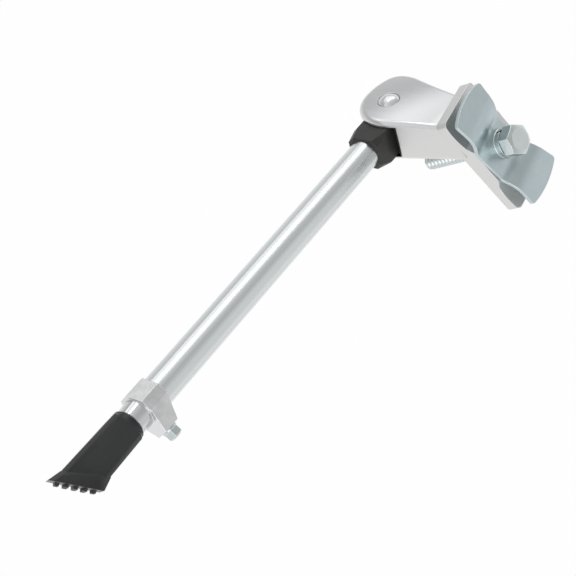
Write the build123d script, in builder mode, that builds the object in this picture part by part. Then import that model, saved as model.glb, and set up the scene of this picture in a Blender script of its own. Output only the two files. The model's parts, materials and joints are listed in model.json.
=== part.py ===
from build123d import *
import os
from math import cos, radians, sin, sqrt, tan

# Bicycle kickstand for the middle of the frame: a cast body clamped to the two
# chain stays, and a spring-held telescopic leg, drawn folded up along the stay.
# Frame: +X forward along the bicycle, +Y to its left, +Z up along the clamp bolt.
# The origin lies on the bolt, level with the stay seats of the cast plate.
# Millimetres and degrees.

# Clamp plate of the casting
plate_length = 72.6
plate_width = 36.8
plate_thickness = 8.4
plate_corner = 3.2
plate_waist = 2.8
plate_edge = 0.8
pad_length = 24.0
pad_height = 3.0
pad_slope = 4.0
seat_depth = 1.4

# Pressed top plate
jaw_length = 76.6
jaw_width = 34.4
jaw_back_shift = 1.0
jaw_waist = 4.6
jaw_flare = 1.6
jaw_thickness = 2.2
jaw_trough = 25.5
jaw_shoulder = 37.5
jaw_rise = 6.0
jaw_tip_drop = 2.0
jaw_end_bulge = 3.0
jaw_bend = 4.0
jaw_crown = 12.0
jaw_corner = 2.2
jaw_skew = 4.0

# Clamp bolt and its washers
bolt_diameter = 10.0
bolt_length = 68.0
bolt_flats = 17.0
bolt_head = 8.2
bolt_face = 0.7
bolt_turn = 72.0
bolt_tip_chamfer = 1.2
bolt_clearance = 0.05
jaw_hole_clearance = 0.4
washer_thickness = 2.9
washer_diameter = 18.4
lock_thickness = 3.2
lock_diameter = 18.0
lock_slit = 1.6
lock_slit_angle = 20.0
washer_clearance = 0.25

# Where the leg turns, and how it lies when folded
pivot_back = 5.2
pivot_left = 39.7
pivot_down = 49.0
fold_outward = 9.8
fold_rise = 2.25
pivot_tilt = 25.0
swing_angle = 102.0

# Housing of the casting, across and around the pivot
slot_half = 11.2
cheek_wall = 4.3
inner_cheek_wall = 4.0
inner_relief = 5.8
lobe_radius = 18.6
lobe_front = 27.6
lobe_back = 20.4
neck_front = 18.6
neck_back = 12.4
neck_height = 44.0
crown_radius = 260.0
rim_fillet = 3.2
cam_gap = 0.4
cam_nose = 0.3
stop_gap = 0.3
stop_land = 1.2
stop_flare = 50.0
eye_room = 1.0

# Pivot rivet
rivet_diameter = 8.0
rivet_head = 13.2
rivet_dome = 3.1
rivet_recess = 0.6
rivet_tail = 10.6
rivet_tail_height = 1.8
press_clearance = 0.02
turn_clearance = 0.05

# Eye rod with its spring, washers and nut
eye_diameter = 16.0
eye_thickness = 9.6
rod_diameter = 6.0
rod_clearance = 0.4
spring_wire = 2.0
spring_diameter = 12.4
spring_length = 40.0
spring_turns = 6
seat_washer = 1.2
seat_clearance = 0.3
end_washer = 1.5
end_washer_diameter = 13.6
nut_flats = 10.0
nut_height = 5.0
rod_overhang = 3.0

# Detent sleeve
sleeve_top = 15.0
sleeve_side = 22.0
sleeve_square = 9.4
sleeve_taper = 9.2
sleeve_corner = 1.0
sleeve_end_side = 20.2
sleeve_chamfer = 3.0
sleeve_end_chamfer = 4.0
sleeve_end_edge = 0.7
sleeve_floor = 4.5

# Telescopic leg
tube_diameter = 18.2
tube_wall = 1.2
tube_length = 236.9
inner_clearance = 0.1
inner_wall = 1.4
inner_inside = 96.0
inner_shown = 0.8
inner_in_foot = 34.0

# Clamp collar and its screw
collar_length = 14.0
collar_lip = 1.0
collar_nose = 8.2
collar_nose_wall = 1.1
collar_nose_taper = 4.0
collar_flat = 6.3
collar_apothem = 10.8
collar_left = 10.7
collar_left_flat = 8.0
boss_reach = 16.5
boss_width = 10.0
collar_turn = 45.0
screw_diameter = 5.0
screw_flats = 8.0
screw_head = 6.0
screw_top_share = 0.7
screw_flange = 1.2
screw_below_middle = 2.3
screw_hole_clearance = 0.2
screw_recess_width = 1.5
screw_recess_depth = 1.6

# Rubber foot
foot_length = 44.5
foot_top_side = 18.8
foot_side = 20.9
foot_chamfer = 2.3
foot_shoulder = 2.0
foot_rim = 2.2
foot_rim_wall = 1.5
foot_bore_clearance = 0.02
lip_height = 6.8
lip_reach = 2.0
lip_edge = 0.2
lip_tilt = 41.0
sole_tilt = 36.0
sole_turn = 15.0
knob_pitch = 4.0
knob_height = 1.8
knob_diameter = 3.0
knob_sides = 6
knob_taper = 10.0

# Directions: the folded leg, the pivot axis across it, and the way the leg swings
leg_dir = Vector(
    -cos(radians(fold_outward)) * cos(radians(fold_rise)),
    sin(radians(fold_outward)) * cos(radians(fold_rise)),
    sin(radians(fold_rise)),
)
level_side = Vector(sin(radians(fold_outward)), cos(radians(fold_outward)), 0)
pivot_axis = level_side.rotate(Axis((0, 0, 0), leg_dir), -pivot_tilt)
swing_dir = leg_dir.cross(pivot_axis)
pivot = Vector(-pivot_back, pivot_left, -pivot_down)
swing_plane = Plane(origin=pivot, x_dir=leg_dir, z_dir=pivot_axis)
rivet_plane = Plane(origin=pivot, x_dir=leg_dir, z_dir=swing_dir)


def leg_plane(along, turn=0):
    """Plane across the leg, a distance along it from the pivot."""
    across = pivot_axis * cos(radians(turn)) + swing_dir * sin(radians(turn))
    return Plane(origin=pivot + leg_dir * along, x_dir=across, z_dir=leg_dir)


def hexagon_radius(flats):
    """Corner radius of a hexagon with this size across its flats."""
    return flats / sqrt(3)


# Places along the leg, from the pivot
sleeve_end = sleeve_top + sleeve_square + sleeve_taper
tube_top = sleeve_top + sleeve_floor
spring_top = tube_top + seat_washer
spring_end = spring_top + spring_length
nut_top = spring_end + end_washer
rod_end = nut_top + nut_height + rod_overhang
tube_end = tube_top + tube_length
collar_end = tube_end + collar_lip
collar_top = collar_end - collar_length
nose_end = collar_end + collar_nose
foot_top = nose_end + inner_shown
inner_diameter = tube_diameter - 2 * tube_wall - 2 * inner_clearance
inner_top = collar_top - inner_inside
inner_end = foot_top + inner_in_foot
foot_end = foot_top + foot_length
cheek_outer = slot_half + cheek_wall
cheek_inner = slot_half + inner_cheek_wall
jaw_top = pad_height + jaw_thickness
lock_bottom = jaw_top + washer_thickness
head_bottom = lock_bottom + lock_thickness

# Housing blank: a thumb-shaped block round the pivot, rising to the clamp plate,
# crowned on its outer face and rounded along that face's rim
with BuildPart() as housing:
    with BuildSketch(swing_plane.offset(-cheek_inner)):
        with BuildLine():
            lean = (lobe_back - neck_back) / (neck_height - lobe_radius / 2)
            crest = 1.5 * neck_height
            back_top = (neck_back - lean * (crest - neck_height), crest)
            back_low = (lobe_back, lobe_radius / 2)
            back = Line(back_top, back_low)
            heel = TangentArc(back_low, (0, -lobe_radius * 0.97), tangent=back % 1)
            sole = TangentArc(heel @ 1, (-lobe_front * 0.75, -lobe_radius * 0.78), tangent=heel % 1)
            toe = TangentArc(sole @ 1, (-lobe_front, -lobe_radius * 0.27), tangent=sole % 1)
            instep = TangentArc(toe @ 1, (-lobe_front * 0.95, lobe_radius * 0.32), tangent=toe % 1)
            front = TangentArc(instep @ 1, (-neck_front, neck_height), tangent=instep % 1)
            rise = front @ 1 + (front % 1) * (crest - neck_height) / (front % 1).Y
            Line(front @ 1, rise)
            Line(rise, back_top)
        make_face()
    extrude(amount=cheek_inner + cheek_outer + rim_fillet)
    crown_centre = swing_plane.offset(cheek_outer - crown_radius).origin
    with Locations(Plane(origin=crown_centre, x_dir=-pivot_axis, z_dir=swing_dir).location):
        Sphere(crown_radius, mode=Mode.INTERSECT)
    rim = housing.faces().filter_by(GeomType.SPHERE).edges().sort_by(Axis(pivot, swing_dir))
    fillet(rim[1:], rim_fillet)
    # Slanting relief along the back of the neck, on the bicycle's side
    neck_up = -swing_dir - leg_dir * lean
    neck_corner = swing_plane.offset(-cheek_inner).from_local_coords(Vector(lobe_back, lobe_radius / 2, 0))
    with BuildSketch(Plane(origin=neck_corner, x_dir=pivot_axis, z_dir=neck_up)):
        Polygon((-1, 1), (inner_relief + 1, 1), (-1, -inner_relief - 1), align=None)
    extrude(amount=crest, both=True, mode=Mode.SUBTRACT)
    split(bisect_by=Plane.XY.offset(-plate_thickness / 2), keep=Keep.BOTTOM)

# Cast body: clamp plate with stay seats and middle pad, the housing below it, and
# the slot in which the leg turns between two cheeks
stop_side = sleeve_side / 2 + stop_gap
cam_flat = sleeve_top - cam_gap
cam_radius = cam_flat + cam_nose
slot_far = 3 * sleeve_end
flat_reach = sqrt(cam_radius**2 - cam_flat**2)
turned = Plane.XY.rotated((0, 0, -swing_angle))


def swung(along, across):
    """A point of the slot sketch, carried round with the leg to its lowered place."""
    point = turned.from_local_coords(Vector(along, across, 0))
    return (point.X, point.Y)


with BuildPart() as body_casting:
    with BuildSketch(Plane.YZ.offset(-plate_width / 2)):
        with BuildLine():
            half = plate_length / 2
            pad = pad_length / 2
            foot_of_pad = pad + pad_slope
            seat_middle = (half + foot_of_pad) / 2
            Line((-half, -plate_thickness), (half, -plate_thickness))
            Line((half, -plate_thickness), (half, 0))
            ThreePointArc((half, 0), (seat_middle, -seat_depth), (foot_of_pad, 0))
            Line((foot_of_pad, 0), (pad, pad_height))
            Line((pad, pad_height), (-pad, pad_height))
            Line((-pad, pad_height), (-foot_of_pad, 0))
            ThreePointArc((-foot_of_pad, 0), (-seat_middle, -seat_depth), (-half, 0))
            Line((-half, 0), (-half, -plate_thickness))
        make_face()
    extrude(amount=plate_width)
    with BuildSketch(Plane.XY.offset(-2 * plate_thickness)):
        with BuildLine():
            wide = plate_width / 2
            ThreePointArc((wide, -half), (wide - plate_waist, 0), (wide, half))
            Polyline((wide, half), (-wide, half), (-wide, -half), (wide, -half))
        make_face()
        fillet(vertices(), plate_corner)
    extrude(amount=4 * plate_thickness, mode=Mode.INTERSECT)
    plate_floor = body_casting.faces().sort_by(Axis.Z)[0]
    chamfer(plate_floor.edges(), plate_edge)
    add(housing.part)
    # Slot for the sleeve, bounded by the two stops and by the cam it rides over
    with BuildSketch(swing_plane):
        with BuildLine():
            land_end = cam_flat + stop_land
            mouth_side = stop_side + (slot_far - land_end) * tan(radians(stop_flare))
            Line((slot_far, mouth_side), (land_end, stop_side))
            Line((land_end, stop_side), (cam_flat, stop_side))
            Line((cam_flat, stop_side), (cam_flat, -flat_reach))
            halfway = radians(swing_angle / 2)
            nose = (cam_radius * cos(halfway), -cam_radius * sin(halfway))
            ThreePointArc(
                (cam_flat, -flat_reach),
                nose,
                swung(cam_flat, flat_reach),
            )
            Line(swung(cam_flat, flat_reach), swung(cam_flat, -stop_side))
            Line(swung(cam_flat, -stop_side), swung(slot_far, -stop_side))
            Line(swung(slot_far, -stop_side), (slot_far, -slot_far))
            Line((slot_far, -slot_far), (slot_far, mouth_side))
        make_face()
    extrude(amount=slot_half, both=True, mode=Mode.SUBTRACT)
    # Room in the middle of the cam for the eye and the rod
    eye_half = eye_thickness / 2 + stop_gap
    rod_half = rod_diameter / 2 + eye_room
    with BuildSketch(swing_plane):
        Circle(eye_diameter / 2 + eye_room)
        with BuildLine():
            Line((0, rod_half), (slot_far / 2, rod_half))
            Line((slot_far / 2, rod_half), (slot_far / 2, -slot_far))
            Line((slot_far / 2, -slot_far), swung(slot_far / 2, -rod_half))
            Line(swung(slot_far / 2, -rod_half), swung(0, -rod_half))
            Line(swung(0, -rod_half), (0, rod_half))
        make_face()
    extrude(amount=eye_half, both=True, mode=Mode.SUBTRACT)
    # Holes for the rivet, its sunk head and the clamp bolt
    with BuildSketch(swing_plane):
        Circle(rivet_diameter / 2 + press_clearance)
    extrude(amount=2 * cheek_outer, both=True, mode=Mode.SUBTRACT)
    with BuildSketch(swing_plane.offset(cheek_outer - rivet_recess)):
        Circle(rivet_head / 2 + stop_gap)
    extrude(amount=2 * rivet_recess, mode=Mode.SUBTRACT)
    with BuildSketch(Plane.XY.offset(pad_height)):
        Circle(bolt_diameter / 2 + bolt_clearance)
    extrude(amount=-bolt_length, mode=Mode.SUBTRACT)
body_casting.part.label = "body_casting"

# Pressed steel top plate: a flat trough on the pad and two arched wings over the stays
jaw_forward = Vector(1, 0, 0).rotate(Axis.Z, jaw_skew)
jaw_plane = Plane(origin=(0, 0, pad_height), x_dir=jaw_forward, z_dir=(0, 0, 1))
jaw_section = Plane(origin=jaw_plane.origin, x_dir=jaw_plane.y_dir, z_dir=jaw_plane.x_dir)
with BuildPart() as top_clamp_plate:
    with BuildSketch(jaw_section.offset(-jaw_width / 2 - jaw_back_shift)):
        with BuildLine():
            reach = jaw_length / 2
            tip = jaw_rise - jaw_tip_drop
            under = FilletPolyline(
                (-reach, tip),
                (-jaw_shoulder / 2, jaw_rise),
                (-jaw_trough / 2, 0),
                (jaw_trough / 2, 0),
                (jaw_shoulder / 2, jaw_rise),
                (reach, tip),
                radius=[jaw_crown, jaw_bend, jaw_bend, jaw_crown],
            )
            offset(under, amount=jaw_thickness, side=Side.LEFT)
        make_face()
    extrude(amount=jaw_width + jaw_flare)
    with BuildSketch(jaw_plane.offset(-jaw_rise)):
        with BuildLine():
            fore = jaw_width / 2 - jaw_back_shift
            aft = -jaw_width / 2 - jaw_back_shift
            straight = reach - jaw_end_bulge
            flared = fore + jaw_flare
            ThreePointArc((flared, -straight), (fore - jaw_waist, 0), (fore, straight))
            ThreePointArc((fore, straight), (-jaw_back_shift, reach), (aft, straight))
            Line((aft, straight), (aft, -straight))
            ThreePointArc((aft, -straight), (-jaw_back_shift, -reach), (flared, -straight))
        make_face()
        fillet(vertices(), jaw_corner)
    extrude(amount=4 * jaw_rise, mode=Mode.INTERSECT)
    with BuildSketch(jaw_plane):
        Circle(bolt_diameter / 2 + jaw_hole_clearance)
    extrude(amount=2 * jaw_thickness, both=True, mode=Mode.SUBTRACT)
top_clamp_plate.part.label = "top_clamp_plate"


def flat_ring(plane, outside, inside, thickness):
    """A washer lying on this plane."""
    with BuildPart() as ring:
        with BuildSketch(plane):
            Circle(outside / 2)
            Circle(inside / 2, mode=Mode.SUBTRACT)
        extrude(amount=thickness)
    return ring.part


with BuildPart() as flat_washer:
    washer_hole = bolt_diameter + 2 * washer_clearance
    add(flat_ring(Plane.XY.offset(jaw_top), washer_diameter, washer_hole, washer_thickness))
    chamfer(flat_washer.edges().group_by(Axis.Z)[-1].sort_by(SortBy.LENGTH)[-1], washer_thickness / 6)
flat_washer.part.label = "flat_washer"

# Split spring washer, pressed flat, with its slanting cut
with BuildPart() as lock_washer:
    add(flat_ring(Plane.XY.offset(lock_bottom), lock_diameter, washer_hole, lock_thickness))
    lock_middle = (0, 0, lock_bottom + lock_thickness / 2)
    with BuildSketch(Plane(origin=lock_middle, x_dir=(1, 0, 0), z_dir=(0, 1, 0))):
        with Locations(Rotation(0, 0, lock_slit_angle)):
            Rectangle(lock_slit, 2 * lock_thickness)
    extrude(amount=lock_diameter, mode=Mode.SUBTRACT)
lock_washer.part.label = "lock_washer"


def hex_block(plane, flats, height, chamfer_share=0.8):
    """A hexagonal head or nut whose outer corners are turned off by a cone."""
    corner = hexagon_radius(flats)
    with BuildPart() as block:
        with BuildSketch(plane):
            RegularPolygon(corner, 6)
        extrude(amount=height)
        slope = plane.offset(height)
        with BuildSketch(Plane(origin=slope.origin, x_dir=plane.x_dir, z_dir=-plane.y_dir)):
            with BuildLine():
                inner = flats / 2 * chamfer_share
                drop = (corner - inner) * tan(radians(30))
                Polyline((corner, -drop), (inner, 0), (0, 0), (0, -height))
                Polyline((0, -height), (2 * corner, -height), (2 * corner, -drop), (corner, -drop))
            make_face()
        revolve(axis=Axis(plane.origin, plane.z_dir), mode=Mode.INTERSECT)
    return block.part


with BuildPart() as clamp_bolt:
    head_turn = Vector(1, 0, 0).rotate(Axis.Z, bolt_turn)
    head_plane = Plane(origin=(0, 0, head_bottom), x_dir=head_turn, z_dir=(0, 0, 1))
    add(hex_block(head_plane.offset(bolt_face), bolt_flats, bolt_head))
    with BuildSketch(head_plane):
        Circle(bolt_flats / 2 - bolt_face)
    extrude(amount=bolt_face)
    with BuildSketch(head_plane):
        Circle(bolt_diameter / 2)
    extrude(amount=-bolt_length)
    chamfer(clamp_bolt.faces().sort_by(Axis.Z)[0].edges(), bolt_tip_chamfer)
clamp_bolt.part.label = "clamp_bolt"

# Pivot rivet: domed head outside, shank through both cheeks, tail peened over inside
with BuildPart() as pivot_rivet:
    with BuildSketch(rivet_plane):
        with BuildLine():
            seat = cheek_outer - rivet_recess
            shank = rivet_diameter / 2
            dome = rivet_head / 2
            dome_ball = (dome**2 + rivet_dome**2) / (2 * rivet_dome)
            tail_top = -cheek_inner
            tail_end = tail_top - rivet_tail_height
            tail_edge = rivet_tail_height / 3
            tail = rivet_tail / 2
            bevel = (tail, tail_top - tail_edge)
            Polyline((0, seat + rivet_dome), (0, tail_end), (tail - tail_edge, tail_end), bevel)
            Polyline(bevel, (tail, tail_top), (shank, tail_top), (shank, seat), (dome, seat))
            RadiusArc((dome, seat), (0, seat + rivet_dome), -dome_ball)
        make_face()
    revolve(axis=Axis(pivot, pivot_axis))
pivot_rivet.part.label = "pivot_rivet"

# Eye rod: a ring on the rivet and a rod that runs down inside the tube
with BuildPart() as eye_rod:
    with BuildSketch(swing_plane):
        Circle(eye_diameter / 2)
    extrude(amount=eye_thickness / 2, both=True)
    with BuildSketch(leg_plane(0)):
        Circle(rod_diameter / 2)
    extrude(amount=rod_end)
    with BuildSketch(swing_plane):
        Circle(rivet_diameter / 2 + turn_clearance)
    extrude(amount=eye_thickness, both=True, mode=Mode.SUBTRACT)
eye_rod.part.label = "eye_rod"

# Spring seat, coil spring, end washer and nut, threaded on the rod
tube_bore = tube_diameter - 2 * tube_wall
with BuildPart() as spring_seat:
    seat_hole = rod_diameter + 2 * rod_clearance
    add(flat_ring(leg_plane(tube_top), tube_bore - 2 * seat_clearance, seat_hole, seat_washer))
spring_seat.part.label = "spring_seat"

with BuildPart() as detent_spring:
    coil_radius = (spring_diameter - spring_wire) / 2
    coil_height = spring_length - spring_wire
    coil_base = leg_plane(spring_top + spring_wire / 2).origin
    with BuildLine() as coil:
        Helix(coil_height / spring_turns, coil_height, coil_radius, center=coil_base, direction=leg_dir)
    with BuildSketch(coil.line ^ 0):
        Rectangle(spring_wire, spring_wire)
    sweep()
detent_spring.part.label = "detent_spring"

with BuildPart() as rod_washer:
    rod_hole = rod_diameter + 2 * press_clearance
    add(flat_ring(leg_plane(spring_end), end_washer_diameter, rod_hole, end_washer))
rod_washer.part.label = "rod_washer"

with BuildPart() as rod_nut:
    add(hex_block(leg_plane(nut_top), nut_flats, nut_height))
    with BuildSketch(leg_plane(nut_top)):
        Circle(rod_hole / 2)
    extrude(amount=nut_height, mode=Mode.SUBTRACT)
rod_nut.part.label = "rod_nut"

# Detent sleeve: block between the cheeks, its two lower corners cut, then a skirt that
# narrows to the tube with all four corners cut
with BuildSketch() as sleeve_outline:
    block = Rectangle(sleeve_side, sleeve_side)
    chamfer(block.vertices().sort_by(Axis.Y)[2:], sleeve_chamfer)
    chamfer(vertices().sort_by(Axis.Y)[:2], sleeve_corner)
with BuildPart() as detent_sleeve:
    with BuildSketch(leg_plane(sleeve_top)):
        add(sleeve_outline.sketch)
    extrude(amount=sleeve_square)
    with BuildSketch(leg_plane(sleeve_top + sleeve_square)):
        add(sleeve_outline.sketch)
    with BuildSketch(leg_plane(sleeve_end)):
        skirt_end = Rectangle(sleeve_end_side, sleeve_end_side)
        chamfer(skirt_end.vertices(), sleeve_end_chamfer)
    loft()
    chamfer(detent_sleeve.faces().sort_by(Axis(pivot, leg_dir))[-1].edges(), sleeve_end_edge)
    with BuildSketch(leg_plane(tube_top)):
        Circle(tube_diameter / 2 + press_clearance)
    extrude(amount=sleeve_end - tube_top, mode=Mode.SUBTRACT)
    with BuildSketch(leg_plane(sleeve_top)):
        Circle(rod_diameter / 2 + rod_clearance)
    extrude(amount=sleeve_floor, mode=Mode.SUBTRACT)
detent_sleeve.part.label = "detent_sleeve"

# Outer tube, with a hole for the collar screw
screw_along = (collar_top + collar_end) / 2 + screw_below_middle
screw_out = -(pivot_axis * cos(radians(collar_turn)) + swing_dir * sin(radians(collar_turn)))
screw_plane = Plane(origin=pivot + leg_dir * screw_along, x_dir=leg_dir, z_dir=screw_out)
with BuildPart() as outer_tube:
    add(flat_ring(leg_plane(tube_top), tube_diameter, tube_bore, tube_length))
    with BuildSketch(screw_plane):
        Circle(screw_diameter / 2 + screw_hole_clearance)
    extrude(amount=tube_diameter, mode=Mode.SUBTRACT)
outer_tube.part.label = "outer_tube"

# Clamp collar: a faceted casting on the tube's end, drawn out to a boss for the screw
with BuildPart() as collar:
    with BuildSketch(leg_plane(collar_top, collar_turn)):
        near = collar_flat / 2
        half_left = collar_left_flat / 2
        Polygon(
            (-near, collar_apothem),
            (near, collar_apothem),
            (collar_left, half_left),
            (collar_left, -half_left),
            (near, -collar_apothem),
            (-near, -collar_apothem),
            align=None,
        )
    extrude(amount=collar_length)
    collar_middle = pivot + leg_dir * (collar_top + collar_end) / 2
    with BuildSketch(Plane(origin=collar_middle, x_dir=leg_dir, z_dir=screw_out).offset(near)):
        Rectangle(collar_length, 2 * collar_apothem)
    with BuildSketch(screw_plane.offset(boss_reach)):
        Rectangle(boss_width, boss_width)
    loft()
    nose_radius = inner_diameter / 2 + inner_clearance + collar_nose_wall
    with BuildSketch(leg_plane(collar_end)):
        Circle(nose_radius)
    extrude(amount=collar_nose, taper=collar_nose_taper)
    with BuildSketch(leg_plane(collar_top)):
        Circle(tube_diameter / 2 + press_clearance)
    extrude(amount=collar_length - collar_lip, mode=Mode.SUBTRACT)
    with BuildSketch(leg_plane(collar_top)):
        Circle(inner_diameter / 2 + inner_clearance)
    extrude(amount=2 * collar_length, mode=Mode.SUBTRACT)
    with BuildSketch(screw_plane):
        Circle(screw_diameter / 2 + turn_clearance)
    extrude(amount=2 * boss_reach, mode=Mode.SUBTRACT)
collar.part.label = "collar"

# Collar screw: hexagon head on a round flange, cross recess, tip against the inner tube
with BuildPart() as collar_screw:
    tip_gap = inner_diameter / 2 + turn_clearance
    flange_seat = boss_reach + turn_clearance
    with BuildSketch(screw_plane.offset(tip_gap)):
        Circle(screw_diameter / 2)
    extrude(amount=flange_seat - tip_gap)
    with BuildSketch(screw_plane.offset(flange_seat)):
        Circle(hexagon_radius(screw_flats))
    extrude(amount=screw_flange)
    hex_seat = screw_plane.offset(flange_seat + screw_flange)
    add(hex_block(hex_seat, screw_flats, screw_head - screw_flange, screw_top_share))
    with BuildSketch(screw_plane.offset(flange_seat + screw_head)):
        Rectangle(screw_diameter, screw_recess_width)
        Rectangle(screw_recess_width, screw_diameter)
    extrude(amount=-screw_recess_depth, mode=Mode.SUBTRACT)
collar_screw.part.label = "collar_screw"

# Inner tube that slides in the outer one and carries the foot
with BuildPart() as inner_tube:
    inner_length = inner_end - inner_top
    add(flat_ring(leg_plane(inner_top), inner_diameter, inner_diameter - 2 * inner_wall, inner_length))
inner_tube.part.label = "inner_tube"

# Rubber foot: cut-corner block moulded over the tube's end, slanting sole with a lip
sole_uphill = pivot_axis * cos(radians(sole_turn)) + swing_dir * sin(radians(sole_turn))
sole_normal = leg_dir * cos(radians(sole_tilt)) - sole_uphill * sin(radians(sole_tilt))
lip_normal = leg_dir * cos(radians(lip_tilt)) - sole_uphill * sin(radians(lip_tilt))
sole_middle = pivot + leg_dir * foot_end
sole_plane = Plane(origin=sole_middle, x_dir=swing_dir.cross(sole_normal), z_dir=sole_normal)
lip_middle = sole_middle - sole_normal * lip_height
lip_plane = Plane(origin=lip_middle, x_dir=swing_dir.cross(lip_normal), z_dir=lip_normal)
block_top = foot_top + foot_rim
block_end = foot_end + foot_side


def foot_block(grow):
    """The tapered block of the foot, longer than needed, its sides moved out by grow."""
    with BuildPart() as block:
        with BuildSketch(leg_plane(block_top, collar_turn)):
            small = Rectangle(foot_top_side + 2 * grow, foot_top_side + 2 * grow)
            chamfer(small.vertices(), foot_chamfer)
        with BuildSketch(leg_plane(block_end, collar_turn)):
            large = Rectangle(foot_side + 2 * grow, foot_side + 2 * grow)
            chamfer(large.vertices(), foot_chamfer)
        loft()
    return block.part


lip_top = section(foot_block(lip_edge), lip_plane)
lip_bottom = section(foot_block(lip_reach), sole_plane)
with BuildPart() as foot_lip:
    loft([lip_top.face(), lip_bottom.face()])

with BuildPart() as foot:
    add(foot_block(0))
    split(bisect_by=sole_plane, keep=Keep.BOTTOM)
    chamfer(foot.faces().sort_by(Axis(pivot, leg_dir))[0].edges(), foot_shoulder)
    add(foot_lip.part)
    with BuildSketch(leg_plane(foot_top)):
        Circle(inner_diameter / 2 + foot_rim_wall)
    extrude(amount=2 * foot_rim)
    with BuildSketch(leg_plane(foot_top)):
        Circle(inner_diameter / 2 + foot_bore_clearance)
    extrude(amount=inner_in_foot, mode=Mode.SUBTRACT)
    # Round knobs under the sole, in rows across and along the foot
    knob_room = foot_side / 2 - knob_diameter / 2
    knob_count = int(knob_room / knob_pitch)
    for row in range(-knob_count, knob_count + 1):
        for column in range(-knob_count, knob_count + 1):
            if abs(row) + abs(column) < 2 * knob_count:
                spot = leg_plane(foot_end, collar_turn).from_local_coords(
                    Vector(row * knob_pitch, column * knob_pitch, 0)
                )
                drop = (sole_middle - spot).dot(sole_normal) / leg_dir.dot(sole_normal)
                knob_base = spot + leg_dir * drop
                with BuildSketch(Plane(origin=knob_base, x_dir=sole_plane.x_dir, z_dir=sole_normal)):
                    RegularPolygon(knob_diameter / 2, knob_sides)
                extrude(amount=knob_height, taper=knob_taper)
foot.part.label = "foot"

pieces = [
    body_casting,
    top_clamp_plate,
    clamp_bolt,
    lock_washer,
    flat_washer,
    pivot_rivet,
    eye_rod,
    spring_seat,
    detent_spring,
    rod_washer,
    rod_nut,
    detent_sleeve,
    outer_tube,
    collar,
    collar_screw,
    inner_tube,
    foot,
]
os.makedirs("parts", exist_ok=True)
for piece in pieces:
    export_step(piece.part, f"parts/{piece.part.label}.step")
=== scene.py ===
import json
from math import cos, pi, radians, sin, tan

import bmesh
import bpy
from mathutils import Matrix, Vector
from mathutils.geometry import intersect_sphere_sphere_2d


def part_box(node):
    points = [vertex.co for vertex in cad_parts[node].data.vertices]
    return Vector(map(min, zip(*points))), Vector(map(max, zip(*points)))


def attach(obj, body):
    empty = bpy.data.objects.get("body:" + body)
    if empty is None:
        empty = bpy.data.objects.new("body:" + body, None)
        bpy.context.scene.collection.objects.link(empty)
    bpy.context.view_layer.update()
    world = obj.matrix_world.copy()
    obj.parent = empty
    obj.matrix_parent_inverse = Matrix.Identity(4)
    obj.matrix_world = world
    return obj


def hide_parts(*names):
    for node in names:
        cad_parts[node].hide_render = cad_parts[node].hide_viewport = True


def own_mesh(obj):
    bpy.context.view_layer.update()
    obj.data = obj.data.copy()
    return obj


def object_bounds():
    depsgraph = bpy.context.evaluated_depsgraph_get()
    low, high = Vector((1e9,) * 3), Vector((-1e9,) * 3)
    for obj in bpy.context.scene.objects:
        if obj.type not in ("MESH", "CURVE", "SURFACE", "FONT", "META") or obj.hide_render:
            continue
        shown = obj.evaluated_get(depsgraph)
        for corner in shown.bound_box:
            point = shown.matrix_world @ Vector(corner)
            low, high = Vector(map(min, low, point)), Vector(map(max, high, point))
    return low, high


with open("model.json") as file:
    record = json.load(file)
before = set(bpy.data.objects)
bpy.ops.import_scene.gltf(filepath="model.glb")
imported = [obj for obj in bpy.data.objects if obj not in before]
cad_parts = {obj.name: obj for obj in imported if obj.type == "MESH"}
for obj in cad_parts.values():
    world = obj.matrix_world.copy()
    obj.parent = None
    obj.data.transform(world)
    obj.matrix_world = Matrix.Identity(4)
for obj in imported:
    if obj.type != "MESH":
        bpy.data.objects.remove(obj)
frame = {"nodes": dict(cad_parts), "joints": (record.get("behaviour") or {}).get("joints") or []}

cad_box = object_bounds()

# Cast body: the clamp plate and the pivot housing in one pressure casting of aluminium.
# It comes out of the die matt grey; the crowned outer cheek and its rim are then
# polished on a belt that runs along the neck, and left without paint.
joint = {entry["name"]: entry for entry in frame["joints"]}
leg_dir = Vector(joint["leg_snap"]["axis"])
pivot_axis = -Vector(joint["leg_swing"]["axis"])
swing_dir = leg_dir.cross(pivot_axis)


def put(tree, kind, inputs=None, **settings):
    """Adds a node; inputs holds a value, or a socket to link, for each input by name or number."""
    node = tree.nodes.new(kind)
    for name, value in settings.items():
        setattr(node, name, value)
    for name, value in (inputs or {}).items():
        if isinstance(value, bpy.types.NodeSocket):
            tree.links.new(value, node.inputs[name])
        else:
            node.inputs[name].default_value = value
    return node


def new_group(name, inputs, outputs):
    """A shader node group with these named sockets; gives its tree, inputs and output node."""
    tree = bpy.data.node_groups.new(name, "ShaderNodeTree")
    for socket, kind in inputs.items():
        tree.interface.new_socket(socket, in_out="INPUT", socket_type="NodeSocket" + kind)
    for socket, kind in outputs.items():
        tree.interface.new_socket(socket, in_out="OUTPUT", socket_type="NodeSocket" + kind)
    return tree, tree.nodes.new("NodeGroupInput").outputs, tree.nodes.new("NodeGroupOutput").inputs


def ranged(tree, value, low, high, start=0.0, end=1.0):
    """Carries a value from start..end to low..high, held at both ends."""
    limits = {"Value": value, "From Min": start, "From Max": end, "To Min": low, "To Max": high}
    return put(tree, "ShaderNodeMapRange", limits).outputs["Result"]


def two_colours(tree, share, first, second):
    """Mixes two colours by a share from 0 to 1; each is three numbers or a socket."""
    first, second = (c if isinstance(c, bpy.types.NodeSocket) else (*c, 1) for c in (first, second))
    return put(tree, "ShaderNodeMix", {0: share, 6: first, 7: second}, data_type="RGBA").outputs[2]


def combined(tree, operation, first, second):
    """One number from two, such as their sum or product."""
    return put(tree, "ShaderNodeMath", {0: first, 1: second}, operation=operation).outputs[0]


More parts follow.
